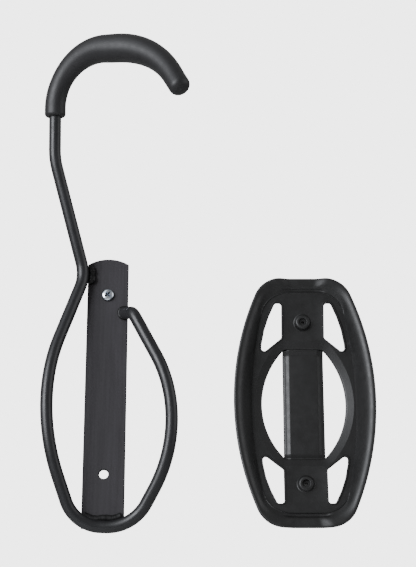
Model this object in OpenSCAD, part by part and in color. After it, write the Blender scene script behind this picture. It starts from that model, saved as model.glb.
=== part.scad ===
// Wall rack for hanging one bicycle upright: a wheel hook, bent from one steel rod and welded to a
// screwed-on strip, and beside it the moulded tray that the other tyre leans against.
// The wall is the plane Y = 0 and the rack stands out of it towards -Y, with +X to the right and
// +Z up. The origin is the centre of the strip's lower screw hole, on the wall. Millimetres.

/* [Part to show] */
// Name of the piece to draw, or "all" for the whole rack

/* [Back plate] */
// Width of the flat steel strip
plate_w = 31.8; // [30:0.1:34]
// Thickness of the strip
plate_t = 3.2; // [3:0.1:4]
// Height of the strip's square corners above the lower screw hole
plate_shoulder = 167.5; // [164:0.5:175]
// Radius of the shallow arc along the strip's top
plate_arc_r = 30; // [24:0.5:40]
// How far the strip runs below the lower screw hole
plate_foot = 41; // [40:0.5:44]
// Distance between the two screw holes
hole_spacing = 142; // [134:0.5:146]
// Diameter of each screw hole
hole_d = 7; // [6:0.1:7.6]

/* [Hook rod] */
// Diameter of the round steel rod
rod_d = 9.5; // [9:0.1:10]
// How far the loop's two sides would stand off the wall, measured at their corners
loop_depth = 38; // [32:1:44]
// Distance of the loop's left corner from the strip's centre line
loop_left = 51; // [48:0.5:54]
// Distance of the loop's right corner from the strip's centre line
loop_right = 66; // [62:0.5:70]
// Height of the corner that turns the arm over into the hook
hook_height = 328; // [322:1:336]
// Distance from the wall to the middle of the hook's closed tip
hook_reach = 113; // [108:1:120]

/* [Hook sleeve] */
// Diameter of the sleeve at its two ends
sleeve_end_d = 16.4; // [15:0.1:18]
// How much thicker the sleeve is where the wheel rim rests
sleeve_swell = 6; // [4:0.1:8]
// Length of the sleeve along the rod
sleeve_length = 170; // [165:1:173]
// Gap between the rod and the sleeve's bore
sleeve_gap = 0.2; // [0.15:0.05:0.3]

/* [Plate screw] */
// Diameter of the screw's pan head
head_d = 9.6; // [9:0.1:11]
// Height of the pan head
head_h = 3; // [2.6:0.1:3.4]
// Diameter over the screw's thread
thread_d = 4.8; // [4.2:0.1:5.4]
// Length of the screw under its head
screw_length = 38; // [32:1:44]

/* [Tyre tray] */
// Distance from the strip's centre line to the tray's centre
tray_x = 151; // [146:1:170]
// Height of the tray's centre above the strip's lower screw hole
tray_z = 53.5; // [45:0.5:60]
// Width over the tray's rim
tray_w = 107; // [104:1:110]
// Length over the tray's rim
tray_l = 194; // [192:1:198]
// Distance from the wall to the front of the rim
tray_depth = 21; // [20:0.5:24]
// Radius of the tyre that the tray's floor is curved to fit
tyre_r = 340; // [330:5:360]
// Thickness of the moulded walls
tray_t = 3; // [2.6:0.1:3.2]
// Distance between the tray's two screw holes
tray_hole_spacing = 126; // [122:1:128]
// Diameter of the tray's screw holes
tray_hole_d = 3.4; // [3:0.1:4.2]

/* [Hidden] */
$fn = 64;
// How far a cut runs past the surface it opens
past = 1;

steel_black = [0.09, 0.09, 0.1];
plate_grey = [0.2, 0.2, 0.22];
soft_black = [0.16, 0.16, 0.18];
zinc = [0.75, 0.78, 0.82];
tray_grey = [0.22, 0.22, 0.22];

// ---- Bent rod ----
// Corners of the rod's centre line, from its weld on the strip's right edge, round the loop, past
// the strip's top left corner, up the arm and over the hook. Each is [x, y, z, bend radius].
rod_r = rod_d / 2;
on_plate = -(plate_t + rod_r);
// Thickness of the sleeve's closed tip, beyond the end of the rod
tip_wall = 7;
// The corners where the hook's two bends are
HOOK_START = 8;
HOOK_END = 9;
path = [
    [13.4, -plate_t, 127.4, 0],
    [21, -26, 120, 9],
    [loop_right, -loop_depth, 33, 97],
    [23, on_plate, -41.5, 33],
    [-20.5, on_plate, -40, 28],
    [-loop_left, -loop_depth, 47, 130],
    [-18, on_plate, 156.5, 26],
    [-41.5, -38, 242.5, 55],
    [-42, -56, hook_height, 42],
    [37.8, -98, hook_height - 19, 74],
    [59, -hook_reach, 264.4, 0]
];
last = len(path) - 1;

function unit(v) = v / norm(v);
function corner(i) = [path[i].x, path[i].y, path[i].z];
function heading(i) = unit(corner(i + 1) - corner(i));
function turn(i) = acos(heading(i - 1) * heading(i));
function setback(i) = i == 0 || i == last ? 0 : path[i][3] * tan(turn(i) / 2);
function bend_start(i) = corner(i) - setback(i) * heading(i - 1);
function bend_end(i) = corner(i) + setback(i) * heading(i);
function bend_axis(i) = unit(cross(heading(i - 1), heading(i)));
function bend_centre(i) = bend_start(i) + path[i][3] * cross(bend_axis(i), heading(i - 1));
function straight_length(i) = norm(bend_start(i + 1) - bend_end(i));
function bend_length(i) = path[i][3] * turn(i) * PI / 180;

// The point and the direction of the centre line after turning through the angle a of bend i
function in_bend(i, a) = let (arm = unit(bend_start(i) - bend_centre(i)), ahead = heading(i - 1)) [
        bend_centre(i) + path[i][3] * (cos(a) * arm + sin(a) * ahead),
        cos(a) * ahead - sin(a) * arm
    ];

// A ring of points of radius r round the centre line, where "at" is a point and a direction
sides = 28;
away = [0, 1, 0];
function ring(at, r) = let (out = unit(cross(at[1], away)), side = cross(at[1], out))
    [for (k = [0 : sides - 1]) at[0] + r * (cos(360 * k / sides) * out + sin(360 * k / sides) * side)];

// A closed skin over rings of points, with the first and the last ring filled in
module skin(rings) {
    n = len(rings);
    polyhedron(
        points = [for (r = rings) each r],
        faces = concat(
            [[for (k = [0 : sides - 1]) k]],
            [for (j = [0 : n - 2], k = [0 : sides - 1]) let (m = (k + 1) % sides)
                [j * sides + k, (j + 1) * sides + k, (j + 1) * sides + m, j * sides + m]],
            [[for (k = [sides - 1 : -1 : 0]) (n - 1) * sides + k]]
        ),
        convexity = 8
    );
}

// Bends are stepped finely enough to stay within this distance of the true arc.
chord_error = 0.06;
function bend_steps(i) = ceil(turn(i) / (2 * acos(1 - chord_error / path[i][3])));
rod_stations = [for (i = [1 : last - 1]) let (n = bend_steps(i))
    for (k = [0 : n]) in_bend(i, turn(i) * k / n)];

// The rod's first end is cut flush with the front of the strip, where it is welded on.
function onto_plate(p) = p - heading(0) * (p.y + plate_t) / heading(0).y;

module hook_rod() color(steel_black)
    skin(concat(
        [[for (p = ring([corner(0), heading(0)], rod_r)) onto_plate(p)]],
        [for (at = rod_stations) ring(at, rod_r)],
        [ring([corner(last) - tip_wall * heading(last - 1), heading(last - 1)], rod_r)]
    ));

// ---- Sleeve ----
// The point and the direction of the centre line at a distance s back from the hook's closed tip
// towards the sleeve's mouth on the arm
leg_end = [
    straight_length(HOOK_END),
    straight_length(HOOK_END) + bend_length(HOOK_END),
    straight_length(HOOK_END) + bend_length(HOOK_END) + straight_length(HOOK_START),
    straight_length(HOOK_END) + bend_length(HOOK_END) + straight_length(HOOK_START) + bend_length(HOOK_START)
];
function on_straight(i, s) = [bend_start(i + 1) - s * heading(i), heading(i)];
function on_bend(i, s) = in_bend(i, turn(i) - s / path[i][3] * 180 / PI);
function on_hook(s) =
    s < leg_end[0] ? on_straight(HOOK_END, s)
    : s < leg_end[1] ? on_bend(HOOK_END, s - leg_end[0])
    : s < leg_end[2] ? on_straight(HOOK_START, s - leg_end[1])
    : s < leg_end[3] ? on_bend(HOOK_START, s - leg_end[2])
    : on_straight(HOOK_START - 1, s - leg_end[3]);

// The sleeve swells smoothly towards its middle. Both distances are measured along the rod.
swell_centre = 78.5;
swell_reach = 67;
function swell(s) = abs(s - swell_centre) >= swell_reach ? 0
    : pow((1 + cos(180 * (s - swell_centre) / swell_reach)) / 2, 0.8);
function sleeve_r(s) = (sleeve_end_d + sleeve_swell * swell(s)) / 2;

// The sleeve's profile as [distance from the tip, radius]: up the bore, round the mouth's shoulder,
// back along the outside and round the closed tip.
bore_steps = 26;
outside_steps = 36;
shoulder_r = 2.6;
tip_round = 2.4;
arc_step = 22.5;
bore_r = rod_r + sleeve_gap;
bore_from = tip_wall - 0.6;
outside_from = sleeve_length - shoulder_r;
sleeve_profile = concat(
    [for (k = [0 : bore_steps]) [bore_from + (sleeve_length - bore_from) * k / bore_steps, bore_r]],
    [for (a = [0 : arc_step : 90]) [
        sleeve_length - shoulder_r * (1 - cos(a)),
        sleeve_end_d / 2 - shoulder_r * (1 - sin(a))
    ]],
    [for (k = [1 : outside_steps]) let (s = outside_from - (outside_from - tip_round) * k / outside_steps)
        [s, sleeve_r(s)]],
    [for (a = [arc_step : arc_step : 90]) [
        tip_round * (1 - sin(a)),
        sleeve_end_d / 2 - tip_round * (1 - cos(a))
    ]]
);

module hook_sleeve() color(soft_black)
    skin([for (p = sleeve_profile) ring(on_hook(p[0]), p[1])]);

// ---- Back plate ----
module plate_outline() {
    arc_rise = plate_arc_r - sqrt(pow(plate_arc_r, 2) - pow(plate_w / 2, 2));
    below_arc = plate_shoulder - plate_arc_r / 4;
    intersection() {
        translate([-plate_w / 2, -plate_foot])
            square([plate_w, plate_foot + plate_shoulder + arc_rise + past]);
        union() {
            translate([0, plate_shoulder + arc_rise - plate_arc_r]) circle(r = plate_arc_r, $fn = 128);
            translate([-plate_w, -plate_foot]) square([2 * plate_w, plate_foot + below_arc]);
        }
    }
}

// Stands a shape drawn in X and Z on the wall, from one depth to another.
module from_wall(back, front) {
    translate([0, -back, 0]) rotate([90, 0, 0]) linear_extrude(front - back) children();
}

module plate_solid() {
    from_wall(0, plate_t) plate_outline();
}

module back_plate() color(plate_grey)
    difference() {
        plate_solid();
        for (z = [0, hole_spacing])
            translate([0, past, z]) rotate([90, 0, 0]) cylinder(d = hole_d, h = plate_t + 2 * past);
    }

// ---- Weld beads ----
// Each bead is a run of overlapping drops on the front of the strip, and bites into the rod. A drop
// is [x, y, z, radius].
module bead(drops) color(steel_black)
    difference() {
        union() for (d = drops) translate([d.x, d.y, d.z]) rotate([90, 0, 0]) sphere(r = d[3]);
        plate_solid();
    }

// Two lobes between the strip's top left corner and the rod's upper bend
module upper_weld() bead([[-13.6, -5, 163.2, 3.5], [-13.3, -5, 158.2, 3.2], [-13.6, -5, 153.2, 3.5]]);

// A ring of drops round the rod's end on the strip's right edge
side_drops = 12;
side_drop_r = 1.6;
side_off = 0.3;
side_ring_r = rod_r - 0.5;
module side_weld()
    bead([for (k = [0 : side_drops - 1]) let (
            x = corner(0).x + side_ring_r * cos(360 * k / side_drops),
            z = corner(0).z + side_ring_r * sin(360 * k / side_drops)
        ) [x, -plate_t - side_off, z, side_drop_r]]);

// A wavy run along the rod where it lies across the strip's foot, lowest in its middle
foot_drops = 9;
foot_drop_r = 3.1;
foot_low_z = -34.4;
foot_end_rise = 3;
foot_wave = 0.4;
foot_half_run = plate_w / 2 - 2;
module bottom_weld()
    bead([for (k = [0 : foot_drops - 1]) let (
            x = foot_half_run * (2 * k / (foot_drops - 1) - 1),
            z = foot_low_z + foot_end_rise * pow(2 * x / plate_w, 2) + foot_wave * (k % 2)
        ) [x, -plate_t - foot_drop_r / 2, z, foot_drop_r]]);

// ---- Screw ----
cross_w = 4.8;
cross_t = 1;
cross_floor = 1.1;
module screw_head() {
    dome_r = (pow(head_d / 2, 2) + pow(head_h, 2)) / (2 * head_h);
    difference() {
        intersection() {
            translate([0, 0, head_h - dome_r]) sphere(r = dome_r);
            cylinder(r = head_d / 2, h = head_h + past);
        }
        for (a = [45, 135])
            rotate([0, 0, a]) translate([-cross_w / 2, -cross_t / 2, cross_floor])
                cube([cross_w, cross_t, head_h]);
    }
}

// The thread is drawn as separate rings, each with two sloping sides.
thread_pitch = 2.2;
thread_side = 0.6;
core_r = 0.36 * thread_d;
point_l = 5;
point_r = 0.2;
module screw_shank() {
    plain_l = plate_t + 3;
    cylinder(r = core_r, h = screw_length - point_l);
    translate([0, 0, screw_length - point_l]) cylinder(r1 = core_r, r2 = point_r, h = point_l);
    for (z = [plain_l : thread_pitch : screw_length - point_l - thread_pitch])
        translate([0, 0, z]) {
            cylinder(r1 = core_r, r2 = thread_d / 2, h = thread_side);
            translate([0, 0, thread_side]) cylinder(r1 = thread_d / 2, r2 = core_r, h = thread_side);
        }
}

module plate_screw() color(zinc) {
    // The shank starts a hair inside the head, so that the two are one solid.
    sunk = 0.01;
    translate([0, -plate_t, hole_spacing]) rotate([90, 0, 0]) screw_head();
    translate([0, -plate_t - sunk, hole_spacing]) rotate([-90, 0, 0]) screw_shank();
}

// ---- Tyre tray ----
// The tray is drawn about its own centre. Its floor is a strip of a cylinder, curved to the tyre
// from end to end, and its wall flares from a crease round the floor out to a level rim.
floor_off = 6;
crease_w = 79;
crease_l = 170;
rim_corner_r = 22;
crease_corner_r = 20;
rim_side_r = 215;
crease_side_r = 300;

// How far the floor has risen off its lowest point at height z
function floor_rise(z) = tyre_r - sqrt(pow(tyre_r, 2) - pow(z, 2));

// A quarter of a rounded outline: a long side arc, a corner arc and half of the flat end
side_steps = 8;
corner_steps = 6;
end_steps = 4;
function quarter(w, l, side_r, corner_r) = let (
        side_x = w / 2 - side_r,
        corner_z = l / 2 - corner_r,
        corner_x = side_x + sqrt(pow(side_r - corner_r, 2) - pow(corner_z, 2)),
        join = atan2(corner_z, corner_x - side_x)
    ) concat(
        [for (k = [0 : side_steps]) let (a = join * k / side_steps)
            [side_x + side_r * cos(a), side_r * sin(a)]],
        [for (k = [1 : corner_steps]) let (a = join + (90 - join) * k / corner_steps)
            [corner_x + corner_r * cos(a), corner_z + corner_r * sin(a)]],
        [for (k = [1 : end_steps]) [corner_x * (1 - k / end_steps), l / 2]]
    );
function full_outline(q) = let (n = len(q) - 1) concat(
        [for (k = [0 : n]) q[k]],
        [for (k = [n - 1 : -1 : 0]) [-q[k].x, q[k].y]],
        [for (k = [1 : n]) [-q[k].x, -q[k].y]],
        [for (k = [n - 1 : -1 : 1]) [q[k].x, -q[k].y]]
    );
crease = full_outline(quarter(crease_w, crease_l, crease_side_r, crease_corner_r));
rim = full_outline(quarter(tray_w, tray_l, rim_side_r, rim_corner_r));

// The flat-bottomed groove that lets the tyre run over both ends of the rim
groove_flat = 12;
groove_half_w = 18;
groove_depth = 2.4;
function groove_side(x) = min(max((abs(x) - groove_flat) / (groove_half_w - groove_flat), 0), 1);
function groove(p) = abs(p.y) < crease_l / 2 ? 0 : groove_depth * (1 + cos(180 * groove_side(p.x))) / 2;

// One point of the flared wall, at outline step j. The share f runs from 0 at the crease to 1 at
// the rim, and back is the distance behind the wall's front.
function flare(j, f, back) = let (
        low = floor_off + floor_rise(crease[j].y),
        high = tray_depth - groove(rim[j]),
        at = crease[j] + f * (rim[j] - crease[j])
    ) [at.x, -(low + (high - low) * sin(90 * max(f, 0)) - back), at.y];
wall_t = 2.6;
wall_steps = 6;
rim_t = 2;
// The wall's root reaches a little way in under the floor, below its front.
root_f = -0.1;
root_back = 0.4;
flare_profile = concat(
    [[root_f, root_back], [0, root_back]],
    [for (k = [1 : wall_steps]) [k / wall_steps, 0]],
    [[1, rim_t]],
    [for (k = [wall_steps - 1 : -1 : 1]) [k / wall_steps, wall_t]],
    [[0, wall_t], [root_f, wall_t]]
);
// A tube of faces over closed rings of points
function loop_faces(rings, sides) = [for (j = [0 : rings - 1], k = [0 : sides - 1])
    let (m = (j + 1) % rings, n = (k + 1) % sides)
        [j * sides + k, m * sides + k, m * sides + n, j * sides + n]];

module flared_wall() {
    polyhedron(
        points = [for (j = [0 : len(crease) - 1]) for (p = flare_profile) flare(j, p[0], p[1])],
        faces = loop_faces(len(crease), len(flare_profile)),
        convexity = 8
    );
}

// A shape drawn in X and Z, kept where it lies between two depths measured off the curved floor
module on_floor(back, front) {
    axis_y = -(floor_off + tyre_r);
    intersection() {
        from_wall(-past, tray_depth + past) children();
        translate([0, axis_y, 0]) rotate([0, 90, 0]) difference() {
            cylinder(r = tyre_r + back, h = 2 * tray_w, center = true, $fn = 256);
            cylinder(r = tyre_r - front, h = 2 * (tray_w + past), center = true, $fn = 256);
        }
    }
}

// The pointed oval in the floor, drawn by two arcs and cut off level with its ends
oval_w = 63.6;
oval_l = 85.6;
oval_r = 62;
module oval(grow = 0) {
    intersection() {
        translate([oval_w / 2 - oval_r, 0]) circle(r = oval_r + grow, $fn = 128);
        translate([oval_r - oval_w / 2, 0]) circle(r = oval_r + grow, $fn = 128);
        square([2 * oval_w, oval_l + 2 * grow], center = true);
    }
}

// One of the four slots beside the screw pads, with rounded corners
module slot() {
    round_r = 2.2;
    offset(r = round_r) offset(delta = -round_r)
        polygon([[16.4, 51.5], [32.2, 38.8], [31.6, 47], [29.4, 58], [26, 68], [21.4, 78], [16.4, 78]]);
}

module in_four() {
    for (mx = [0, 1], mz = [0, 1]) mirror([mx, 0]) mirror([0, mz]) children();
}

// The bar across the back of the oval, with a raised panel along its middle. A riser at each end
// joins it to the back of the floor.
bar_w = 31.2;
bar_t = 3.4;
panel_w = 22;
panel_raise = 1;
riser_l = 3.2;
bite = 1;
module tray_bar() {
    from_wall(0, bar_t) square([bar_w, oval_l + 2 * riser_l], center = true);
    from_wall(bar_t - bite, bar_t + panel_raise) square([panel_w, oval_l + bite], center = true);
    for (s = [-1, 1])
        from_wall(bar_t - bite, floor_off + bite)
            translate([0, s * (oval_l + riser_l) / 2]) square([bar_w, riser_l], center = true);
}

// A raised boss round each screw hole, on a post that reaches back to the wall
boss_raise = 2.6;
boss_base_r = 6.2;
boss_top_r = 4.3;
boss_foot_r = 6.8;
boss_sunk = 1.6;
module tray_boss(z) {
    pad_front = floor_off + floor_rise(z);
    translate([0, 0, z]) rotate([90, 0, 0]) {
        cylinder(r = boss_base_r, h = pad_front - bite);
        translate([0, 0, pad_front - boss_sunk])
            cylinder(r1 = boss_foot_r, r2 = boss_top_r, h = boss_raise + boss_sunk);
    }
}

// The screw hole, with a wider recess for the screw's head at its front
recess_r = 2.9;
recess_depth = 1.4;
module tray_bore(z) {
    boss_front = floor_off + floor_rise(z) + boss_raise;
    translate([0, past, z]) rotate([90, 0, 0]) {
        cylinder(d = tray_hole_d, h = boss_front + 2 * past);
        translate([0, 0, past + boss_front - recess_depth]) cylinder(r = recess_r, h = recess_depth + past);
    }
}

// Everything in the middle of the tray, before the flared wall is added round it. The floor steps
// back in a band round the oval.
funnel_w = 6.2;
funnel_drop = 1.3;
module tray_middle() {
    on_floor(tray_t, 0) difference() {
        polygon(crease);
        oval(funnel_w);
        in_four() slot();
    }
    on_floor(tray_t, -funnel_drop) difference() {
        oval(funnel_w + bite);
        oval();
    }
    tray_bar();
    for (s = [-1, 1]) tray_boss(s * tray_hole_spacing / 2);
}

module tyre_tray() color(tray_grey)
    translate([tray_x, 0, tray_z]) union() {
        difference() {
            union() tray_middle();
            for (s = [-1, 1]) tray_bore(s * tray_hole_spacing / 2);
        }
        flared_wall();
    }

back_plate();
hook_rod();
hook_sleeve();
upper_weld();
side_weld();
bottom_weld();
plate_screw();
tyre_tray();
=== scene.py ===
"""The looks of a bicycle wall rack: a bent rod hook with a soft sleeve, welded to a strip, and a
moulded tyre tray. Every length up to the stage is in millimetres, in the part's frame: the wall is
Y = 0, the rack stands out towards -Y, and the origin is the centre of the strip's lower hole. Meshes
are turned into metres as they are made. The stage, its lights and the camera are in metres."""

import math

import bmesh
import bpy
from mathutils import Matrix, Vector, geometry, noise


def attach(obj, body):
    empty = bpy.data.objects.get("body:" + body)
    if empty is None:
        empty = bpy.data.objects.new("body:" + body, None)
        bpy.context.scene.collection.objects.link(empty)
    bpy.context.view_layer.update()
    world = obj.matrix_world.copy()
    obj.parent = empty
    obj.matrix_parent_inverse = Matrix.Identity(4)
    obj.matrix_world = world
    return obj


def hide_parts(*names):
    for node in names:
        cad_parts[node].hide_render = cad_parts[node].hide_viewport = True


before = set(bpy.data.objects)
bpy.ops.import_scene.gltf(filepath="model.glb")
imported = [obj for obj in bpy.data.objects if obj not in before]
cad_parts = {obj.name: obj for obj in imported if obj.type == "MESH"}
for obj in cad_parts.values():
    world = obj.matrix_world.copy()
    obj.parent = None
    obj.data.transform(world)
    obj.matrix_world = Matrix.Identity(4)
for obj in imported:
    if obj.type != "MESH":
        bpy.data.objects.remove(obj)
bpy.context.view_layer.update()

MM = 0.001
BODY = "root"
TOWARDS_WALL = Vector((0, 1, 0))


# ---------------------------------------------------------------- mesh helpers

def make_piece(name, points, faces, material, sharp_deg=None):
    """A mesh object from points in millimetres, shaded smooth but for edges over sharp_deg."""
    mesh = bpy.data.meshes.new(name)
    mesh.from_pydata([Vector(p) * MM for p in points], [], faces)
    mesh.materials.append(material)
    mesh.shade_smooth()
    if sharp_deg is not None:
        mesh.set_sharp_from_angle(angle=math.radians(sharp_deg))
    piece = bpy.data.objects.new(name, mesh)
    bpy.context.collection.objects.link(piece)
    return piece


def face_outwards(piece):
    """Turns the faces of a closed mesh so that they all look out."""
    work = bmesh.new()
    work.from_mesh(piece.data)
    bmesh.ops.recalc_face_normals(work, faces=work.faces)
    work.to_mesh(piece.data)
    work.free()


def strips(first, rings, sides, closed=False):
    """Faces between rings of points that follow each other from the index first."""
    faces = []
    for j in range(rings if closed else rings - 1):
        a = first + j * sides
        b = first + (j + 1) % rings * sides
        for k in range(sides):
            m = (k + 1) % sides
            faces.append((a + k, a + m, b + m, b + k))
    return faces


def ring_round(centre, heading, radius, sides):
    """A ring of points round a line that runs through centre along heading."""
    out = heading.cross(TOWARDS_WALL).normalized()
    side = heading.cross(out)
    return [centre + radius * (math.cos(a) * out + math.sin(a) * side) for a in full_turn(sides)]


def lathe(profile, centre, sides):
    """Rings of a shape turned round Y. A profile row is [radius, distance towards -Y]."""
    turns = full_turn(sides)
    return [centre + Vector((r * math.cos(a), -h, r * math.sin(a))) for r, h in profile for a in turns]


def end_caps(points, sides):
    """Faces over the first and the last ring."""
    return [tuple(range(sides)), tuple(range(len(points) - sides, len(points)))]


def smooth_step(x):
    """Eases from 0 to 1 as x runs from 0 to 1."""
    x = min(max(x, 0), 1)
    return x * x * (3 - 2 * x)


def ridge(x, centre, half_width):
    """A smooth bump of height 1 at centre."""
    return math.exp(-((x - centre) / half_width) ** 2)


def quarter_turn(steps):
    """Angles from 0 to 90 degrees in even steps, both ends included."""
    return [math.pi / 2 * k / steps for k in range(steps + 1)]


def full_turn(steps):
    """Angles once round, in even steps."""
    return [2 * math.pi * k / steps for k in range(steps)]


# ---------------------------------------------------------------- materials

class Shader:
    """A node material with a Principled shader, and short ways to feed its sockets."""

    def __init__(self, name, roughness, metallic=0.0, specular=0.5, **fixed):
        self.material = bpy.data.materials.new(name)
        self.material.use_nodes = True
        self.tree = self.material.node_tree
        self.shader = self.tree.nodes["Principled BSDF"]
        self.shader.inputs["Roughness"].default_value = roughness
        self.shader.inputs["Metallic"].default_value = metallic
        self.shader.inputs["Specular IOR Level"].default_value = specular
        for socket, value in fixed.items():
            self.shader.inputs[socket.replace("_", " ")].default_value = value
        self.place = self.tree.nodes.new("ShaderNodeTexCoord").outputs["Object"]

    def join(self, source, target):
        """Links an output socket to an input socket."""
        self.tree.links.new(source, target)

    def stretched(self, scale):
        """The object's coordinates, scaled by a different number along each axis."""
        node = self.tree.nodes.new("ShaderNodeMapping")
        node.inputs["Scale"].default_value = scale
        self.join(self.place, node.inputs["Vector"])
        return node.outputs["Vector"]

    def noise(self, scale, detail=3.0, stretch=(1, 1, 1), roughness=0.5):
        """Soft clouds from 0 to 1. A larger stretch along an axis makes them shorter along it."""
        node = self.tree.nodes.new("ShaderNodeTexNoise")
        node.inputs["Scale"].default_value = scale
        node.inputs["Detail"].default_value = detail
        node.inputs["Roughness"].default_value = roughness
        self.join(self.stretched(stretch), node.inputs["Vector"])
        return node.outputs["Fac"]

    def grain(self, scale):
        """Small round cells, as a moulded or pebbled skin has."""
        node = self.tree.nodes.new("ShaderNodeTexVoronoi")
        node.inputs["Scale"].default_value = scale
        self.join(self.place, node.inputs["Vector"])
        return node.outputs["Distance"]

    def beyond(self, axis, start, end):
        """0 nearer the middle than start and 1 beyond end, in millimetres either way along an axis."""
        split = self.tree.nodes.new("ShaderNodeSeparateXYZ")
        self.join(self.place, split.inputs[0])
        either_way = self.tree.nodes.new("ShaderNodeMath")
        either_way.operation = "ABSOLUTE"
        self.join(split.outputs[axis], either_way.inputs[0])
        share = self.tree.nodes.new("ShaderNodeMapRange")
        share.inputs["From Min"].default_value = start * MM
        share.inputs["From Max"].default_value = end * MM
        self.join(either_way.outputs[0], share.inputs["Value"])
        return share.outputs["Result"]

    def within(self, radius):
        """1 inside a cylinder about the Y axis, of a radius in millimetres, and 0 outside it."""
        flat = self.tree.nodes.new("ShaderNodeVectorMath")
        flat.operation = "MULTIPLY"
        flat.inputs[1].default_value = (1, 0, 1)
        self.join(self.place, flat.inputs[0])
        length = self.tree.nodes.new("ShaderNodeVectorMath")
        length.operation = "LENGTH"
        self.join(flat.outputs["Vector"], length.inputs[0])
        less = self.tree.nodes.new("ShaderNodeMath")
        less.operation = "LESS_THAN"
        less.inputs[1].default_value = radius * MM
        self.join(length.outputs["Value"], less.inputs[0])
        return less.outputs[0]

    def edges(self, start, end):
        """0 on even faces and 1 on sharply raised edges."""
        geometry_node = self.tree.nodes.new("ShaderNodeNewGeometry")
        share = self.tree.nodes.new("ShaderNodeMapRange")
        share.inputs["From Min"].default_value = start
        share.inputs["From Max"].default_value = end
        self.join(geometry_node.outputs["Pointiness"], share.inputs["Value"])
        return share.outputs["Result"]

    def ramp(self, source, stops):
        """Maps a value through stops of [position, grey or colour]."""
        node = self.tree.nodes.new("ShaderNodeValToRGB")
        elements = node.color_ramp.elements
        for element, (position, _) in zip(elements, stops):
            element.position = position
        for position, _ in stops[2:]:
            elements.new(position)
        for element, (_, colour) in zip(elements, stops):
            rgb = colour if isinstance(colour, tuple) else (colour,) * 3
            element.color = (*rgb, 1)
        self.join(source, node.inputs["Fac"])
        return node.outputs["Color"]

    def mix(self, share, first, second):
        """The colour first at share 0 and second at share 1; each may be a socket or a value."""
        node = self.tree.nodes.new("ShaderNodeMix")
        node.data_type = "RGBA"
        factor, first_in, second_in = (node.inputs[i] for i in (0, 6, 7))
        for socket, value in ((factor, share), (first_in, first), (second_in, second)):
            if isinstance(value, bpy.types.NodeSocket):
                self.join(value, socket)
            elif isinstance(value, tuple):
                socket.default_value = (*value, 1)
            else:
                socket.default_value = value
        return node.outputs[2]

    def bump(self, *layers):
        """Bump from layers of (height socket, strength, depth in millimetres)."""
        normal = None
        for height, strength, depth in layers:
            node = self.tree.nodes.new("ShaderNodeBump")
            node.inputs["Strength"].default_value = strength
            node.inputs["Distance"].default_value = depth * MM
            self.join(height, node.inputs["Height"])
            if normal:
                self.join(normal, node.inputs["Normal"])
            normal = node.outputs["Normal"]
        self.join(normal, self.shader.inputs["Normal"])

    def colour(self, source):
        """Drives the base colour by a socket."""
        self.join(source, self.shader.inputs["Base Color"])

    def rough(self, source):
        """Drives the roughness by a socket."""
        self.join(source, self.shader.inputs["Roughness"])


def rod_coat():
    """Satin black powder coat with a fine orange peel."""
    s = Shader("rod_coat", roughness=0.36, specular=0.5)
    cloudy = s.noise(26, detail=4)
    s.colour(s.ramp(cloudy, [(0.3, (0.0085, 0.0086, 0.0095)), (0.72, (0.0145, 0.0148, 0.0165))]))
    s.rough(s.ramp(s.noise(140, detail=3), [(0.3, 0.33), (0.7, 0.43)]))
    s.bump((s.noise(620, detail=2), 0.35, 0.16), (s.noise(95, detail=1), 0.12, 0.5))
    return s.material


def plate_coat():
    """Charcoal coat on the flat strip, with faint rolling streaks along it and a few rub marks. Shade is
    painted dark along both side edges and round the lower hole."""
    half = PLATE_W / 2
    s = Shader("plate_coat", roughness=0.5, specular=0.34)
    streaks = s.ramp(s.noise(60, detail=5, stretch=(7, 1, 0.3)), [(0.38, 0.0), (0.62, 1.0)])
    base = s.mix(streaks, (0.0235, 0.0214, 0.0245), (0.0303, 0.0278, 0.0315))
    worn = s.noise(34, detail=6, stretch=(1.4, 1, 0.9), roughness=0.62)
    rubs = s.ramp(worn, [(0.56, 0.0), (0.68, 1.0)])
    rubbed = s.mix(rubs, base, (0.030, 0.0281, 0.0310))
    # Painted shade: the strip darkens towards both side edges, as its rounded edges would in shade.
    edge_shaded = s.mix(s.beyond("X", half - 0.8, half - 0.3), rubbed, (0.008, 0.008, 0.009))
    # Painted shade: a dark ring on the strip round the lower hole, in place of its shadowed inner wall.
    s.colour(s.mix(s.within(HOLE_R + 0.6), edge_shaded, (0.006, 0.006, 0.007)))
    s.rough(s.ramp(s.noise(75, detail=5, stretch=(3, 1, 0.6)), [(0.3, 0.43), (0.7, 0.58)]))
    s.bump((s.noise(700, detail=2), 0.3, 0.12), (s.noise(45, detail=3, stretch=(5, 1, 0.4)), 0.16, 0.3))
    return s.material


def sleeve_rubber():
    """Soft moulded sleeve: a fine pebbled skin with a broad, soft sheen."""
    s = Shader("sleeve_rubber", roughness=0.5, specular=0.5, Sheen_Weight=0.06, Sheen_Roughness=0.4)
    cloudy = s.noise(30, detail=4)
    s.colour(s.ramp(cloudy, [(0.3, (0.0085, 0.0082, 0.0091)), (0.7, (0.0115, 0.0111, 0.0122))]))
    s.rough(s.ramp(s.noise(240, detail=3), [(0.3, 0.46), (0.7, 0.54)]))
    s.bump((s.grain(900), 0.25, 0.12), (s.noise(330, detail=3), 0.15, 0.2))
    return s.material


def weld_coat(name, hollow, crest):
    """The same coat over weld metal, its tone wandering in random clouds between hollow and crest."""
    s = Shader(name, roughness=0.42, specular=0.3)
    s.colour(s.ramp(s.noise(260, detail=3), [(0.35, (hollow,) * 3), (0.65, (crest,) * 3)]))
    s.rough(s.ramp(s.noise(200, detail=2), [(0.3, 0.38), (0.7, 0.52)]))
    s.bump((s.noise(330, detail=1), 0.12, 0.2))
    return s.material


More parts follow.
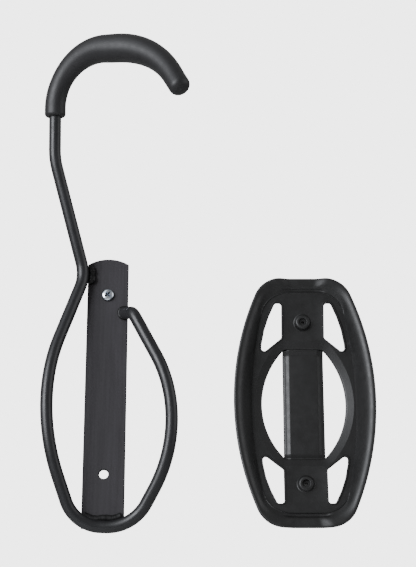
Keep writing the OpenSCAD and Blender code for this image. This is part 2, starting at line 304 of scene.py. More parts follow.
def zinc_plate():
    """Bright zinc on the screw, lightly brushed and clouded, with shade painted dark from the dome's
    foot down, over the head's rim and the bottom of the cross recess.
    """
    dome_foot = PLATE_T + HEAD_RIM
    s = Shader("zinc_plate", roughness=0.2, metallic=1.0)
    clouded = s.ramp(s.noise(500, detail=4), [(0.3, (0.66, 0.74, 0.84)), (0.7, (0.90, 0.95, 1.0))])
    # Painted shade: dark on the head's rim and deep in the cross recess.
    s.colour(s.mix(s.beyond("Y", dome_foot + 0.5, dome_foot + 1.1), (0.10, 0.12, 0.15), clouded))
    s.rough(s.ramp(s.noise(900, detail=3), [(0.3, 0.12), (0.7, 0.28)]))
    s.bump((s.noise(1500, detail=2), 0.2, 0.05))
    return s.material


def tray_plastic():
    """Satin moulded plastic with a fine mould grain, slow flow marks and a highlight painted along its
    sharp edges.
    """
    s = Shader("tray_plastic", roughness=0.4, specular=0.5)
    flow = s.noise(16, detail=4, stretch=(1, 1, 0.5))
    base = s.ramp(flow, [(0.3, (0.0085, 0.0084, 0.0083)), (0.7, (0.0125, 0.0124, 0.0123))])
    # Painted highlight: sharp convex edges are lightened, as if they caught the light.
    s.colour(s.mix(s.edges(0.52, 0.60), base, (0.03, 0.03, 0.03)))
    s.rough(s.ramp(s.noise(180, detail=4), [(0.3, 0.38), (0.7, 0.48)]))
    s.bump(
        (s.grain(1100), 0.2, 0.08),
        (s.noise(260, detail=3), 0.12, 0.15),
        (s.noise(30, detail=2), 0.1, 0.6),
    )
    return s.material


# ---------------------------------------------------------------- the rod's line

PLATE_T = 3.2
ROD_R = 4.75
ON_PLATE = -(PLATE_T + ROD_R)
# Corners of the rod's centre line, from the weld on the strip's right edge round the loop, up the
# arm and over the hook: x, y, z and the bend's radius
ROD_CORNERS = [
    (13.4, -PLATE_T, 127.4, 0),
    (21, -26, 120, 9),
    (66, -38, 33, 97),
    (23, ON_PLATE, -41.5, 33),
    (-20.5, ON_PLATE, -40, 28),
    (-51, -38, 47, 130),
    (-18, ON_PLATE, 156.5, 26),
    (-41.5, -38, 242.5, 55),
    (-42, -56, 328, 42),
    (37.8, -98, 309, 74),
    (59, -113, 264.4, 0),
]
# How much of the hook's tip is sleeve only, beyond the rod's end
TIP_WALL = 7
LINE_STEP = 1.5
# What a round piece gives up to stay inside the box of its faceted solid
INSIDE_FACETS = 0.03


def trace_line(corners):
    """(point, heading) along the centre line, in steps of about LINE_STEP."""
    points = [Vector(c[:3]) for c in corners]
    headings = [(b - a).normalized() for a, b in zip(points, points[1:])]
    line = [(points[0], headings[0])]

    def go_straight(end, heading):
        """Adds stations on a straight run from the line's last point to end."""
        start = line[-1][0]
        steps = max(1, round((end - start).length / LINE_STEP))
        for k in range(1, steps + 1):
            line.append((start.lerp(end, k / steps), heading))

    for before, after, point, corner in zip(headings, headings[1:], points[1:], corners[1:]):
        radius = corner[3]
        turn = before.angle(after)
        axis = before.cross(after).normalized()
        start = point - radius * math.tan(turn / 2) * before
        centre = start + radius * axis.cross(before)
        go_straight(start, before)
        steps = math.ceil(radius * turn / LINE_STEP)
        for k in range(1, steps + 1):
            spin = Matrix.Rotation(turn * k / steps, 3, axis)
            line.append((centre + spin @ (start - centre), spin @ before))
    go_straight(points[-1], headings[-1])
    return line


ROD_LINE = trace_line(ROD_CORNERS)


def distances_from_tip():
    """How far each station of the rod's line lies from its last point, the hook's closed tip."""
    far = [0.0]
    for (a, _), (b, _) in zip(reversed(ROD_LINE), reversed(ROD_LINE[:-1])):
        far.append(far[-1] + (b - a).length)
    return far[::-1]


FROM_TIP = distances_from_tip()


def on_hook(s):
    """The point and heading at a distance s back from the tip along the rod's line."""
    for i in range(len(ROD_LINE) - 1, 0, -1):
        if FROM_TIP[i - 1] >= s:
            share = (s - FROM_TIP[i]) / (FROM_TIP[i - 1] - FROM_TIP[i])
            (ahead, ahead_dir), (behind, behind_dir) = ROD_LINE[i], ROD_LINE[i - 1]
            return ahead.lerp(behind, share), ahead_dir.lerp(behind_dir, share).normalized()
    return ROD_LINE[0]


# ---------------------------------------------------------------- hook bracket

def make_rod():
    """The bent rod, round and smooth, cut flush with the strip where it starts. It is a hair thinner
    than the faceted CAD rod, to stay inside its box."""
    sides = 40
    radius = ROD_R - INSIDE_FACETS
    start, heading = ROD_LINE[0]
    first = ring_round(start, heading, radius, sides)
    points = [p - heading * (p.y + PLATE_T) / heading.y for p in first]
    clear_of_strip = 2 * ROD_R
    kept = [
        (p, h) for (p, h), s in zip(ROD_LINE, FROM_TIP)
        if (p - start).length > clear_of_strip and s > TIP_WALL
    ]
    for p, h in kept:
        points += ring_round(p, h, radius, sides)
    faces = strips(0, len(points) // sides, sides) + end_caps(points, sides)
    rod = make_piece("bent_rod", points, faces, rod_coat(), sharp_deg=50)
    face_outwards(rod)
    return rod


# The sleeve's radius at its ends and its swell, whose centre and reach either way are measured along
# the rod from the tip
SLEEVE_END_R = 8.2
# A hair under the CAD solid's swell, to stay inside its facets
SLEEVE_SWELL = 2.98
SWELL_FULLNESS = 0.8
SLEEVE_LENGTH = 170
SWELL_CENTRE = 78.5
SWELL_REACH = 67
BORE_R = ROD_R + 0.2


def sleeve_radius(s):
    """The sleeve's outside, swelling smoothly where the wheel's rim rests."""
    off = abs(s - SWELL_CENTRE) / SWELL_REACH
    if off >= 1:
        return SLEEVE_END_R
    return SLEEVE_END_R + SLEEVE_SWELL * ((1 + math.cos(math.pi * off)) / 2) ** SWELL_FULLNESS


def sleeve_profile():
    """[distance from the tip, radius] up the bore, over the mouth's lip, along and round the tip."""
    shoulder = 2.4
    tip_round = 5.4
    dome = 0.9
    lip = 0.5
    bore_bottom = TIP_WALL - 0.6
    bore_step = 4
    profile = [(bore_bottom + k * bore_step, BORE_R) for k in range(41)]
    profile += [(SLEEVE_LENGTH - lip, BORE_R), (SLEEVE_LENGTH, BORE_R + lip)]
    profile += [
        (SLEEVE_LENGTH - shoulder * (1 - math.cos(a)), SLEEVE_END_R - shoulder * (1 - math.sin(a)))
        for a in quarter_turn(8)
    ]
    steps = 90
    outside = SLEEVE_LENGTH - shoulder - tip_round
    for k in range(1, steps + 1):
        s = SLEEVE_LENGTH - shoulder - outside * k / steps
        profile.append((s, sleeve_radius(s)))
    profile += [
        (tip_round * (1 - math.sin(a)), SLEEVE_END_R - tip_round * (1 - math.cos(a)))
        for a in quarter_turn(8)[1:]
    ]
    flat = SLEEVE_END_R - tip_round
    profile += [(-dome * (1 - share ** 2), flat * share) for share in (0.85, 0.7, 0.5, 0.3, 0.06)]
    return profile


def make_sleeve():
    """The soft sleeve, pushed over the rod's end and closed at the tip."""
    sides = 56
    profile = sleeve_profile()
    points = []
    for s, radius in profile:
        centre, heading = on_hook(max(s, 0))
        points += ring_round(centre + heading * max(-s, 0), heading, radius, sides)
    faces = strips(0, len(profile), sides) + end_caps(points, sides)
    sleeve = make_piece("soft_sleeve", points, faces, sleeve_rubber(), sharp_deg=60)
    face_outwards(sleeve)
    return sleeve


PLATE_W = 31.8
PLATE_SHOULDER = 167.5
PLATE_ARC_R = 30
PLATE_FOOT = 41
PLATE_EDGE = 0.45
HOLE_SPACING = 142
HOLE_R = 3.5


def plate_outline():
    """The strip's outline as [x, z]: square foot, straight sides and a shallow arched top."""
    half = PLATE_W / 2
    reach = math.asin(half / PLATE_ARC_R)
    centre_z = PLATE_SHOULDER - PLATE_ARC_R * math.cos(reach)
    steps = 24
    arch = []
    for k in range(steps + 1):
        a = reach * (1 - 2 * k / steps)
        arch.append((PLATE_ARC_R * math.sin(a), centre_z + PLATE_ARC_R * math.cos(a)))
    return [(-half, -PLATE_FOOT), (half, -PLATE_FOOT), *arch]


def circle(x, z, radius, steps):
    """Points of a circle round (x, z), anticlockwise."""
    return [(x + radius * math.cos(a), z + radius * math.sin(a)) for a in full_turn(steps)]


def finished_mesh(drawn):
    """The mesh of an object as its curve or modifiers make it."""
    bpy.context.view_layer.update()
    return bpy.data.meshes.new_from_object(drawn.evaluated_get(bpy.context.evaluated_depsgraph_get()))


def flat_bar(name, loops, thickness, edge, material):
    """A flat bar on the wall from outlines in x and z, with every edge rounded."""
    curve = bpy.data.curves.new(name, "CURVE")
    curve.dimensions = "2D"
    curve.fill_mode = "BOTH"
    curve.extrude = (thickness / 2 - edge) * MM
    curve.bevel_depth = edge * MM
    curve.bevel_resolution = 3
    curve.offset = -edge * MM
    for loop in loops:
        spline = curve.splines.new("POLY")
        spline.points.add(len(loop) - 1)
        for point, (x, z) in zip(spline.points, loop):
            point.co = (x * MM, z * MM, 0, 1)
        spline.use_cyclic_u = True
    drawn = bpy.data.objects.new(name, curve)
    bpy.context.collection.objects.link(drawn)
    mesh = finished_mesh(drawn)
    bpy.data.objects.remove(drawn)
    stand_up = Matrix.Translation((0, -thickness / 2 * MM, 0)) @ Matrix.Rotation(math.pi / 2, 4, "X")
    mesh.transform(stand_up)
    mesh.materials.clear()
    mesh.materials.append(material)
    bar = bpy.data.objects.new(name, mesh)
    bpy.context.collection.objects.link(bar)
    for polygon in mesh.polygons:
        faces_the_wall_or_out = abs(polygon.normal.y) > 0.999
        polygon.use_smooth = not faces_the_wall_or_out
    return bar


def make_plate():
    """The strip with both of its holes, its edges a little rounded."""
    holes = [circle(0, z, HOLE_R, 48) for z in (0, HOLE_SPACING)]
    return flat_bar("flat_strip", [plate_outline(), *holes], PLATE_T, PLATE_EDGE, plate_coat())


# Distance from one ripple of a weld bead to the next
RIPPLE = 1.9


def dense_line(line, stations):
    """The rows of a line with stations - 1 more between each two of them."""
    dense = []
    for a, b in zip(line, line[1:]):
        for k in range(stations):
            dense.append(Vector(a).lerp(Vector(b), k / stations))
    dense.append(Vector(line[-1]))
    return dense


def bead(name, line, material, lumps, unevenness, seed):
    """A lumpy run of weld metal. A row of line is x, y, z and the bead's radius there."""
    sides = 22
    round_end = 6
    nearly_closed = 0.002
    noise_scale = 0.4
    dense = dense_line(line, stations=14)
    points = []
    last = len(dense) - 1
    travelled = 0.0
    for j, row in enumerate(dense):
        ahead = dense[min(j + 1, last)]
        behind = dense[max(j - 1, 0)]
        centre = Vector(row[:3])
        heading = Vector((ahead - behind)[:3]).normalized()
        end_share = min(min(j, last - j) / round_end, 1)
        closing = math.sqrt(max(1 - (1 - end_share) ** 2, nearly_closed))
        travelled += Vector((row - behind)[:3]).length
        ripple = 1 + lumps * abs(math.sin(math.pi * travelled / RIPPLE))
        for p in ring_round(centre, heading, row[3] * closing * ripple, sides):
            shift = noise.noise(p * noise_scale + Vector((seed, 0, 0))) * unevenness
            points.append(p + (p - centre) * shift)
    faces = strips(0, len(dense), sides) + end_caps(points, sides)
    run = make_piece(name, points, faces, material, sharp_deg=70)
    face_outwards(run)
    return run


def upper_bead(coat):
    """Two fat drops one above the other, between the strip's top left edge and the rod."""
    return bead("weld_upper", [
        (-13.8, -4.9, 165.9, 1.9), (-13.6, -5.0, 163.6, 3.4), (-13.1, -5.0, 161.0, 3.4),
        (-13.4, -4.9, 158.4, 3.0), (-13.0, -5.0, 155.8, 3.4), (-13.4, -5.0, 153.2, 3.5),
        (-13.9, -4.9, 150.6, 2.0),
    ], coat, lumps=0.03, unevenness=0.16, seed=3)


def side_bead(coat):
    """A ring round the rod's end on the strip, fatter at three places."""
    x, _, z, _ = ROD_CORNERS[0]
    ring_r = 4.3
    turns = full_turn(16)
    return bead("weld_side", [
        (x + ring_r * math.cos(a), -PLATE_T - 0.5, z + ring_r * math.sin(a), 1.5 + 0.2 * math.sin(3 * a))
        for a in turns + turns[:1]
    ], coat, lumps=0.04, unevenness=0.12, seed=11)


def bottom_bead(coat):
    """A wavy run along the strip's foot that follows the rod's bend."""
    half_length = 15.0
    middle_z = -34.4
    end_rise = 2.7
    wave = 0.6
    line = []
    for k in range(-4, 5):
        share = k / 4
        z = middle_z + end_rise * share ** 2 + wave * math.sin(6 * share + 1)
        line.append((half_length * share, -PLATE_T - 1.3, z, 2.9))
    return bead("weld_bottom", line, coat, lumps=0.01, unevenness=0.04, seed=23)


def make_welds():
    """The three welds between the rod and the strip."""
    coat = weld_coat("weld_coat", 0.003, 0.006)
    foot_coat = weld_coat("foot_weld_coat", 0.004, 0.009)
    upper = upper_bead(coat)
    side = side_bead(coat)
    bottom = bottom_bead(foot_coat)
    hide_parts("upper_weld")
    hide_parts("side_weld")
    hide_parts("bottom_weld")
    return [upper, side, bottom]


HEAD_R = 4.8
HEAD_H = 3
HEAD_RIM = 1.0
SCREW_LENGTH = 38
THREAD_R = 2.4
CORE_R = 1.73
THREAD_PITCH = 2.2


def screw_head(material):
    """A pan head with a tapered cross recess."""
    centre = Vector((0, -PLATE_T, HOLE_SPACING))
    sides = 64
    dome_fullness = 0.62
    profile = [(0.3, 0.0), (HEAD_R - 0.1, 0.0), (HEAD_R, 0.15), (HEAD_R, HEAD_RIM)]
    for a in quarter_turn(12)[1:]:
        radius = HEAD_R * max(math.cos(a), 0) ** dome_fullness + 0.02
        profile.append((radius, HEAD_RIM + (HEAD_H - HEAD_RIM) * math.sin(a)))
    points = lathe(profile, centre, sides)
    faces = strips(0, len(profile), sides) + end_caps(points, sides)
    head = make_piece("screw_head", points, faces, material)
    face_outwards(head)
    cutter = cross_cutter(centre, material)
    cut = head.modifiers.new("cross", "BOOLEAN")
    cut.operation = "DIFFERENCE"
    cut.solver = "EXACT"
    cut.use_self = True
    cut.object = cutter
    mesh = finished_mesh(head)
    head.modifiers.clear()
    head.data = mesh
    bpy.data.objects.remove(cutter)
    mesh.shade_smooth()
    mesh.set_sharp_from_angle(angle=math.radians(38))
    return head


def cross_cutter(centre, material):
    """Two crossed blades that narrow towards the bottom of the recess."""
    wide = 3.0
    deep = 2.2
    thick = 0.75
    above = 0.5
    bottom_share = 0.45
    points = []
    faces = []
    for turn in (45, 135):
        spin = Matrix.Rotation(math.radians(turn), 3, "Y")
        first = len(points)
        for depth, share in ((HEAD_H - deep, bottom_share), (HEAD_H + above, 1.0)):
            for sx, sz in ((-1, -1), (1, -1), (1, 1), (-1, 1)):
                corner = Vector((sx * wide * share, -depth, sz * thick * (0.6 + 0.4 * share)))
                points.append(centre + spin @ corner)
        a = [first + k for k in range(8)]
        faces += [(a[0], a[3], a[2], a[1]), (a[4], a[5], a[6], a[7])]
        faces += [(a[k], a[(k + 1) % 4], a[4 + (k + 1) % 4], a[4 + k]) for k in range(4)]
    cutter = make_piece("cross_cutter", points, faces, material)
    face_outwards(cutter)
    return cutter


def screw_shank(material):
    """The shank and its helical thread, as one turned surface whose radius follows the helix."""
    sides = 36
    step = 0.18
    point_length = 6
    plain = PLATE_T + 2.4
    run_in = 3
    ridge_half_w = 0.24
    start = Vector((0, -PLATE_T, HOLE_SPACING))
    stations = int(SCREW_LENGTH / step)
    points = []
    for j in range(stations + 1):
        depth = j * step
        taper = min(1.0, max(0.06, (SCREW_LENGTH - depth) / point_length))
        cut_in = smooth_step((depth - plain) / run_in)
        for k, a in enumerate(full_turn(sides)):
            phase = (depth / THREAD_PITCH - k / sides) % 1.0
            thread = max(0.0, 1 - abs(phase - 0.5) / ridge_half_w)
            radius = (CORE_R + (THREAD_R - CORE_R) * thread * cut_in) * taper
            points.append(start + Vector((radius * math.cos(a), depth, radius * math.sin(a))))
    faces = strips(0, stations + 1, sides) + end_caps(points, sides)
    shank = make_piece("screw_shank", points, faces, material, sharp_deg=40)
    face_outwards(shank)
    return shank


def make_screw():
    """The screw in the strip's upper hole, as a head and a shank."""
    zinc = zinc_plate()
    head = screw_head(zinc)
    shank = screw_shank(zinc)
    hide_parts("plate_screw")
    return [head, shank]


# ---------------------------------------------------------------- tyre tray

# The tray's middle on the wall. Its own x and z are measured from there.
TRAY_AT = Vector((151, 0, 53.5))
TRAY_W = 107
TRAY_L = 194
TRAY_DEPTH = 21
TYRE_R = 340
FLOOR_OFF = 6
# The crease where the floor meets the flared wall
CREASE_W = 79
CREASE_L = 170
WALL_T = 2.6
BOSS_Z = 63
BOSS_H = 2.6
# Narrower than the screw's bore, so that no light shows through it at the camera's angle
BORE_IN_TRAY = 1.2


def quarter(width, length, side_r, corner_r, side_steps, corner_steps, end_steps):
    """A quarter of a rounded outline: a long side arc, a corner arc and half of the flat end."""
    side_x = width / 2 - side_r
    corner_z = length / 2 - corner_r
    corner_x = side_x + math.sqrt((side_r - corner_r) ** 2 - corner_z ** 2)
    join = math.atan2(corner_z, corner_x - side_x)
    points = []
    for k in range(side_steps + 1):
        a = join * k / side_steps
        points.append((side_x + side_r * math.cos(a), side_r * math.sin(a)))
    for k in range(1, corner_steps + 1):
        a = join + (math.pi / 2 - join) * k / corner_steps
        points.append((corner_x + corner_r * math.cos(a), corner_z + corner_r * math.sin(a)))
    for k in range(1, end_steps + 1):
        points.append((corner_x * (1 - k / end_steps), length / 2))
    return points


def whole(q):
    """The whole outline from its first quarter."""
    left = [(-x, z) for x, z in reversed(q[:-1])]
    low = [(-x, -z) for x, z in q[1:]]
    right = [(x, -z) for x, z in reversed(q[1:-1])]
    return q + left + low + right


def normals_of(loop):
    """The outward normal at each point of a loop that runs anticlockwise."""
    out = []
    for (ax, az), (bx, bz) in zip(loop[-1:] + loop[:-1], loop[1:] + loop[:1]):
        size = math.hypot(bx - ax, bz - az)
        out.append(((bz - az) / size, -(bx - ax) / size))
    return out


def grown(loop, d):
    """The loop moved outwards by d all round."""
    return [(x + nx * d, z + nz * d) for (x, z), (nx, nz) in zip(loop, normals_of(loop))]


def rounded(corners, radius, step):
    """A loop round a polygon with its corners rounded and points every step or so."""
    loop = []
    count = len(corners)
    for i, corner in enumerate(corners):
        here = Vector(corner)
        before = (here - Vector(corners[i - 1])).normalized()
        after = (Vector(corners[(i + 1) % count]) - here).normalized()
        turn = before.angle(after)
        start = here - before * radius * math.tan(turn / 2)
        centre = start + Vector((-before.y, before.x)) * radius
        if loop:
            loop += between(Vector(loop[-1]), start, step)
        steps = max(1, round(2 * turn * radius / step))
        for k in range(steps + 1):
            spin = Matrix.Rotation(turn * k / steps, 2)
            loop.append(tuple(centre + spin @ (start - centre)))
    loop += between(Vector(loop[-1]), Vector(loop[0]), step)
    return loop


def between(a, b, step):
    """Evenly spaced points strictly between a and b."""
    parts = max(1, round((b - a).length / step))
    return [tuple(a.lerp(b, k / parts)) for k in range(1, parts)]


SIDE_R = 62
OVAL = whole(quarter(63.6, 85.6, SIDE_R, 5, 26, 6, 12))
CREASE = whole(quarter(CREASE_W, CREASE_L, 300, 20, 40, 14, 18))
RIM = whole(quarter(TRAY_W, TRAY_L, 215, 22, 40, 14, 18))
# Corners of the slot at the upper right, in x and z from the tray's middle
SLOT = [(16.4, 51.5), (32.2, 38.8), (31.6, 47), (29.4, 58), (26, 68), (21.4, 78), (16.4, 78)]
SLOT_CORNER_R = 2.2


def slots():
    """The four slots beside the screw pads, each anticlockwise."""
    right = rounded(SLOT, SLOT_CORNER_R, step=1.1)
    left = [(-x, z) for x, z in reversed(right)]
    lower = [[(x, -z) for x, z in reversed(s)] for s in (right, left)]
    return [right, left, *lower]


# The tyre's groove over both ends of the rim, and the gutter inside it
GROOVE_FLAT = 9
GROOVE_HALF_W = 20.5
GROOVE_DEPTH = 2.4
GUTTER_HALF_W = 18


def groove(x, z):
    """How far the rim dips where the tyre runs over its ends."""
    if abs(z) < CREASE_L / 2:
        return 0
    return GROOVE_DEPTH * (1 - smooth_step((abs(x) - GROOVE_FLAT) / (GROOVE_HALF_W - GROOVE_FLAT)))


def floor_height(z):
    """The floor's distance off the wall, curved to the tyre from end to end."""
    return FLOOR_OFF + TYRE_R - math.sqrt(TYRE_R ** 2 - z ** 2)


def pad_hollow(x, z):
    """How far the screw pads are hollowed between the slots."""
    start_z = 49
    end_z = 82
    fade = 5
    half_w = 14
    depth = 0.5
    along = smooth_step((abs(z) - start_z) / fade) * smooth_step((end_z - abs(z)) / fade)
    return depth * along * max(0, 1 - (x / half_w) ** 2) ** 0.7


# The slope back into the oval, and the rounding of every hole's edge
FUNNEL_W = 6.2
FUNNEL_DROP = 1.7
EDGE_ROUND = 0.9


def edge_drop(d):
    """How far a rounded edge has fallen away at a distance d from a hole."""
    if d >= EDGE_ROUND:
        return 0
    return EDGE_ROUND - math.sqrt(EDGE_ROUND ** 2 - (EDGE_ROUND - d) ** 2)


def funnel(d):
    """How far the floor slopes back towards the oval, at a distance d from its edge."""
    return FUNNEL_DROP * (1 - d / FUNNEL_W)


def slot_border(d):
    """The low border round each slot, as a drop below the floor: it is negative."""
    height = 0.8
    return -height * ridge(d, centre=1.0, half_width=0.45)


def end_relief(x, z, out):
    """The crease's rounded step at both ends of the floor, with a fine bead along its edge, and the
    gutter beyond it where the tyre runs. The distance outwards from the crease is out."""
    start_z = 66
    at_end = smooth_step((abs(z) - start_z) / 12)
    fine_bead = 0.6 * ridge(out, centre=0.5, half_width=0.42)
    step = 0.5 * smooth_step((out - 0.5) / 1.1) * (1 - smooth_step((out - 2.6) / 4.5))
    across = smooth_step((GUTTER_HALF_W - abs(x)) / 3.5)
    gutter = 1.2 * ridge(out, centre=2.8, half_width=1.3) * across
    return at_end * (fine_bead - step - gutter)


def floor_face(x, z):
    """The floor's front face with the pads' hollows, as a distance off the wall."""
    return floor_height(z) - pad_hollow(x, z)


class Sheet:
    """A moulded sheet under construction: front points, their partners on the back, and faces."""

    def __init__(self):
        self.front = []
        self.back = []
        self.faces = []

    def add(self, x, z, front, back):
        """One point on each side, at their distances off the wall. Returns their shared index."""
        self.front.append(Vector((x, -front, z)))
        self.back.append(Vector((x, -back, z)))
        return len(self.front) - 1

    def ring(self, rows):
        """The indices of new points from rows of (x, z, front, back)."""
        return [self.add(*row) for row in rows]

    def band(self, inner, outer):
        """Faces between two rings of the same size."""
        count = len(inner)
        for k in range(count):
            m = (k + 1) % count
            self.faces.append((inner[k], inner[m], outer[m], outer[k]))

    def closed_mesh(self, edges):
        """Points and faces of the whole sheet. Each edge is a ring where front and back are joined."""
        shift = len(self.front)
        faces = list(self.faces)
        faces += [tuple(i + shift for i in reversed(f)) for f in self.faces]
        for ring in edges:
            for k, a in enumerate(ring):
                b = ring[(k + 1) % len(ring)]
                faces.append((a, b, b + shift, a + shift))
        return self.front + self.back, faces


def hole_band(sheet, loop, widths, drop):
    """Rings that lead from the edge of a hole out to the floor. Returns the first and last ring."""
    rings = []
    for d in widths:
        rows = []
        for x, z in grown(loop, d):
            face = floor_face(x, z) - drop(d)
            rows.append((x, z, face - edge_drop(d), face - WALL_T + edge_drop(d)))
        rings.append(sheet.ring(rows))
    for inner, outer in zip(rings, rings[1:]):
        sheet.band(inner, outer)
    return rings[0], rings[-1]


def boss_rows(z0, steps):
    """Rows of the boss and its bore at z0, as rings of (x, z, front, back) from outside inwards. A
    row of the profile is a radius and the share of the boss's height there."""
    top = floor_height(z0) + BOSS_H
    foot = [(7.0, 0), (6.7, 0.04), (6.4, 0.14), (6.0, 0.38), (5.6, 0.66), (5.2, 0.88), (4.7, 0.97)]
    crown = [(4.3, 1), (3.35, 1), (3.05, 0.97), (2.9, 0.88)]
    recess = [(2.85, 0.46), (2.7, 0.4), (BORE_IN_TRAY, 0.4), (BORE_IN_TRAY, 0.2)]
    rings = []
    for radius, share in foot + crown + recess:
        rows = []
        for x, z in circle(0, z0, radius, steps):
            base = floor_face(x, z)
            front = base + (top - base) * share
            rows.append((x, z, front, base - WALL_T))
        rings.append(rows)
    return rings


def floor_grid(loops, edge_points):
    """Points in staggered rows over the floor, clear of its edges and of every hole."""
    spacing = 2.4
    triangle_height = 0.866
    stretch = 1.15
    row_step = spacing * triangle_height * stretch
    clearance = 0.62 * spacing
    rows = int(CREASE_L / spacing)
    columns = 20
    grid = []
    for r in range(-rows // 2, rows // 2 + 1):
        for c in range(-columns, columns + 1):
            p = Vector(((c + 0.5 * (r % 2)) * spacing, r * row_step))
            if inside(p, loops) and min((p - q).length for q in edge_points) > clearance:
                grid.append(p)
    return grid


def fill_floor(sheet, outer, inner_rings):
    """Triangles over the floor between the outer ring and the rings round the holes."""
    rings = [outer, *inner_rings]
    loops = [[Vector((sheet.front[i].x, sheet.front[i].z)) for i in ring] for ring in rings]
    index = [i for ring in rings for i in ring]
    points = [p for loop in loops for p in loop]
    edges = []
    first = 0
    for loop in loops:
        count = len(loop)
        edges += [(first + k, first + (k + 1) % count) for k in range(count)]
        first += count
    for p in floor_grid(loops, edge_points=list(points)):
        points.append(p)
        face = floor_face(p.x, p.y)
        index.append(sheet.add(p.x, p.y, face, face - WALL_T))
    verts, _, triangles, origin, _, _ = geometry.delaunay_2d_cdt(points, edges, [], 0, 1e-5)
    for triangle in triangles:
        middle = sum((verts[i] for i in triangle), Vector((0, 0))) / 3
        if inside(middle, loops):
            sheet.faces.append(tuple(index[origin[i][0]] for i in triangle))


def inside(p, loops):
    """Whether p lies inside the first loop and outside all the others."""
    return in_loop(p, loops[0]) and not any(in_loop(p, loop) for loop in loops[1:])


def in_loop(p, loop):
    """Whether p lies inside a loop, by counting the edges to one side of it."""
    found = False
    for a, b in zip(loop, loop[1:] + loop[:1]):
        if (a.y > p.y) != (b.y > p.y) and p.x < a.x + (p.y - a.y) / (b.y - a.y) * (b.x - a.x):
            found = not found
    return found


def flare_rows(share):
    """One ring of the flared wall, from the crease at share 0 to the rim at share 1."""
    rim_in = grown(RIM, -WALL_T / 2)
    rows = []
    for (cx, cz), (rx, rz), (full_x, full_z) in zip(CREASE, rim_in, RIM):
        low = floor_height(cz)
        high = TRAY_DEPTH - groove(full_x, full_z)
        x = cx + share * (rx - cx)
        z = cz + share * (rz - cz)
        out = share * math.hypot(rx - cx, rz - cz)
        front = low + (high - low) * math.sin(math.pi / 2 * share) + end_relief(x, z, out)
        rows.append((x, z, front, front - WALL_T))
    return rows


def rim_rows(turn):
    """One ring of the rim's rounded edge; turn runs from 0 at the front to 90 at its outside."""
    a = math.radians(turn)
    half = WALL_T / 2
    rows = []
    for (x, z), (full_x, full_z) in zip(grown(RIM, -half + half * math.sin(a)), RIM):
        middle = TRAY_DEPTH - groove(full_x, full_z) - half
        rows.append((x, z, middle + half * math.cos(a), middle - half * math.cos(a)))
    return rows


def tray_sheet():
    """The tray's floor and flared wall, with every hole and rounded edge."""
    sheet = Sheet()
    edges = []
    inner = []
    oval_widths = [0, 0.08, 0.25, 0.5, EDGE_ROUND, 1.8, 3.0, 4.2, 5.3, 5.95, FUNNEL_W]
    slot_widths = [0, 0.08, 0.22, 0.45, 0.7, EDGE_ROUND, 1.15, 1.4, 1.7]
    holes = [(OVAL, oval_widths, funnel)] + [(loop, slot_widths, slot_border) for loop in slots()]
    for loop, widths, drop in holes:
        first, last = hole_band(sheet, loop, widths, drop)
        edges.append(first)
        inner.append(last)
    for side in (-1, 1):
        rings = [sheet.ring(rows) for rows in boss_rows(side * BOSS_Z, 44)]
        for outer, inner_ring in zip(rings, rings[1:]):
            sheet.band(inner_ring, outer)
        inner.append(rings[0])
        edges.append(rings[-1])
    wall_steps = 24
    crowding = 1.4
    wall = [sheet.ring(flare_rows((k / wall_steps) ** crowding)) for k in range(wall_steps + 1)]
    wall += [sheet.ring(rim_rows(turn)) for turn in (22, 45, 65, 82)]
    for a, b in zip(wall, wall[1:]):
        sheet.band(a, b)
    edges.append(wall[-1])
    fill_floor(sheet, wall[0], inner)
    return sheet.closed_mesh(edges)


BAR_W = 31.2
# Where the bar begins to turn up, and the fine ridge across it
BAR_DISH_Z = 38
BAR_RIDGE_Z = 42.1


def tray_bar_mesh():
    """The bar across the back of the oval: flat edges, chamfers and a raised middle panel, turned
    up at both ends to meet the back of the floor. A row of its profile is x and the distance off
    the wall."""
    half = BAR_W / 2
    right_base = [(half - 0.3, 0.0), (half, 0.3)]
    right_edge = [(half, 1.6), (half - 0.3, 2.5), (half - 1.0, 2.95), (13.4, 3.05)]
    right_chamfer = [(12.9, 3.15), (11.2, 4.2), (10.7, 4.38), (10.2, 4.4)]
    right = right_base + right_edge + right_chamfer
    profile = right + [(-x, off) for x, off in reversed(right)]
    turn_up = 2.1
    turn_up_length = 5
    ridge_height = 0.35
    fine_step = 0.25
    fine = [BAR_DISH_Z + fine_step * k for k in range(41)]
    stations = [-z for z in reversed(fine)] + [2 * k for k in range(-18, 19)] + fine
    points = []
    for z in stations:
        lift = turn_up * smooth_step((abs(z) - BAR_DISH_Z) / turn_up_length)
        lift += ridge_height * ridge(abs(z), BAR_RIDGE_Z, half_width=0.4)
        points += [Vector((x, -(off + lift), z)) for x, off in profile]
    sides = len(profile)
    return points, strips(0, len(stations), sides) + end_caps(points, sides)


def post_mesh(z0):
    """The hollow post behind a boss that carries its screw back to the wall."""
    steps = 44
    post_r = 6.2
    edge = 0.3
    into_floor = 1.2
    reach = floor_height(z0) - into_floor
    outside = [(BORE_IN_TRAY, reach), (post_r, reach), (post_r, edge), (post_r - edge, 0)]
    profile = outside + [(2.35, 0), (BORE_IN_TRAY, 0.25)]
    points = []
    for radius, off in profile:
        points += [Vector((x, -off, z)) for x, z in circle(0, z0, radius, steps)]
    return points, strips(0, len(profile), steps, closed=True)


def make_tray():
    """The moulded tray: sheet, bar and posts in one piece."""
    points, faces = tray_sheet()
    for more_points, more_faces in (tray_bar_mesh(), post_mesh(-BOSS_Z), post_mesh(BOSS_Z)):
        shift = len(points)
        points = points + more_points
        faces = faces + [tuple(i + shift for i in f) for f in more_faces]
    tray = make_piece("moulded_tray", [TRAY_AT + p for p in points], faces, tray_plastic(), sharp_deg=42)
    face_outwards(tray)
    return tray


# ---------------------------------------------------------------- the stage

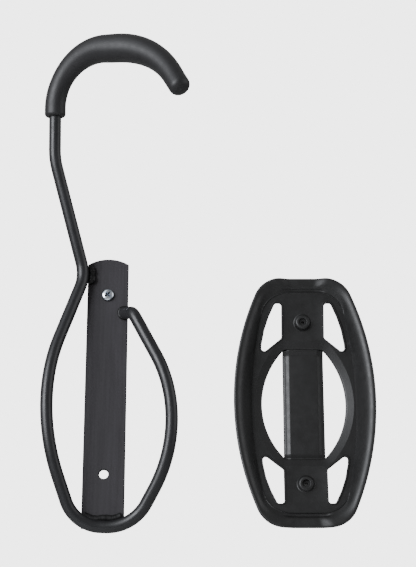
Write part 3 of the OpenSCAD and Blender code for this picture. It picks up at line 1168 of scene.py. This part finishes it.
def make_floor():
    """A pale floor well below the rack."""
    size = 4.0
    depth = 0.75
    mesh = bpy.data.meshes.new("floor")
    corners = [(-size, -size, 0), (size, -size, 0), (size, size, 0), (-size, size, 0)]
    mesh.from_pydata(corners, [], [(0, 1, 2, 3)])
    paint = Shader("floor_paint", roughness=0.9, specular=0.2)
    paint.colour(paint.ramp(paint.noise(3), [(0.3, 0.80), (0.7, 0.84)]))
    mesh.materials.append(paint.material)
    floor = bpy.data.objects.new("floor", mesh)
    floor.location = (0, 0, -depth)
    bpy.context.collection.objects.link(floor)


def add_softbox(name, place, target, size, watts, colour):
    """A rectangular light at place that faces target."""
    light = bpy.data.lights.new(name, "AREA")
    light.shape = "RECTANGLE"
    light.size, light.size_y = size
    light.energy = watts
    light.color = colour
    lamp = bpy.data.objects.new(name, light)
    lamp.location = place
    lamp.rotation_euler = (Vector(target) - Vector(place)).to_track_quat("-Z", "Y").to_euler()
    bpy.context.collection.objects.link(lamp)


def light_studio():
    """A soft key from the left, weaker boxes above it and to the right, and a backdrop that is bright
    to the camera only."""
    middle = (0.08, -0.03, 0.15)
    add_softbox("key", (-0.88, -0.98, 0.34), middle, (0.9, 0.9), 25, (0.93, 0.95, 1.0))
    add_softbox("side", (1.25, -0.45, 0.5), middle, (1.0, 1.2), 5, (0.96, 0.97, 1.0))
    add_softbox("top", (-0.9, -0.95, 1.3), middle, (1.2, 1.2), 5, (0.90, 0.94, 1.0))
    ambient = 0.28
    backdrop = 4
    world = bpy.data.worlds.new("studio")
    world.use_nodes = True
    tree = world.node_tree
    sky = tree.nodes["Background"]
    sky.inputs["Color"].default_value = (1, 1, 1, 1)
    seen = tree.nodes.new("ShaderNodeLightPath").outputs["Is Camera Ray"]
    strength = tree.nodes.new("ShaderNodeMapRange")
    strength.inputs["To Min"].default_value = ambient
    strength.inputs["To Max"].default_value = backdrop
    tree.links.new(seen, strength.inputs["Value"])
    tree.links.new(strength.outputs["Result"], sky.inputs["Strength"])
    bpy.context.scene.world = world


def add_camera():
    """A long lens that looks up at the rack from below, level from side to side."""
    pitch = math.radians(20)
    distance = 1.2
    aim = Vector((0.0782, 0, 0.153))
    lens = bpy.data.cameras.new("camera")
    lens.sensor_fit = "HORIZONTAL"
    lens.sensor_width = 36
    lens.lens = 132.3
    camera = bpy.data.objects.new("camera", lens)
    camera.location = aim + distance * Vector((0, -math.cos(pitch), -math.sin(pitch)))
    camera.rotation_euler = (math.pi / 2 + pitch, 0, 0)
    bpy.context.collection.objects.link(camera)
    bpy.context.scene.camera = camera


# ---------------------------------------------------------------- assembly

def build():
    """Sets the stage, then makes every piece in the place of its CAD node."""
    add_camera()
    light_studio()
    make_floor()
    for piece, node, slot in (
        (make_rod(), "hook_rod", "rod"),
        (make_sleeve(), "hook_sleeve", "sleeve"),
        (make_plate(), "back_plate", "plate"),
        (make_tray(), "tyre_tray", "tray"),
    ):
        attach(piece, BODY)
        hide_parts(node)
    for piece in make_welds():
        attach(piece, BODY)
    for piece in make_screw():
        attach(piece, BODY)


build()
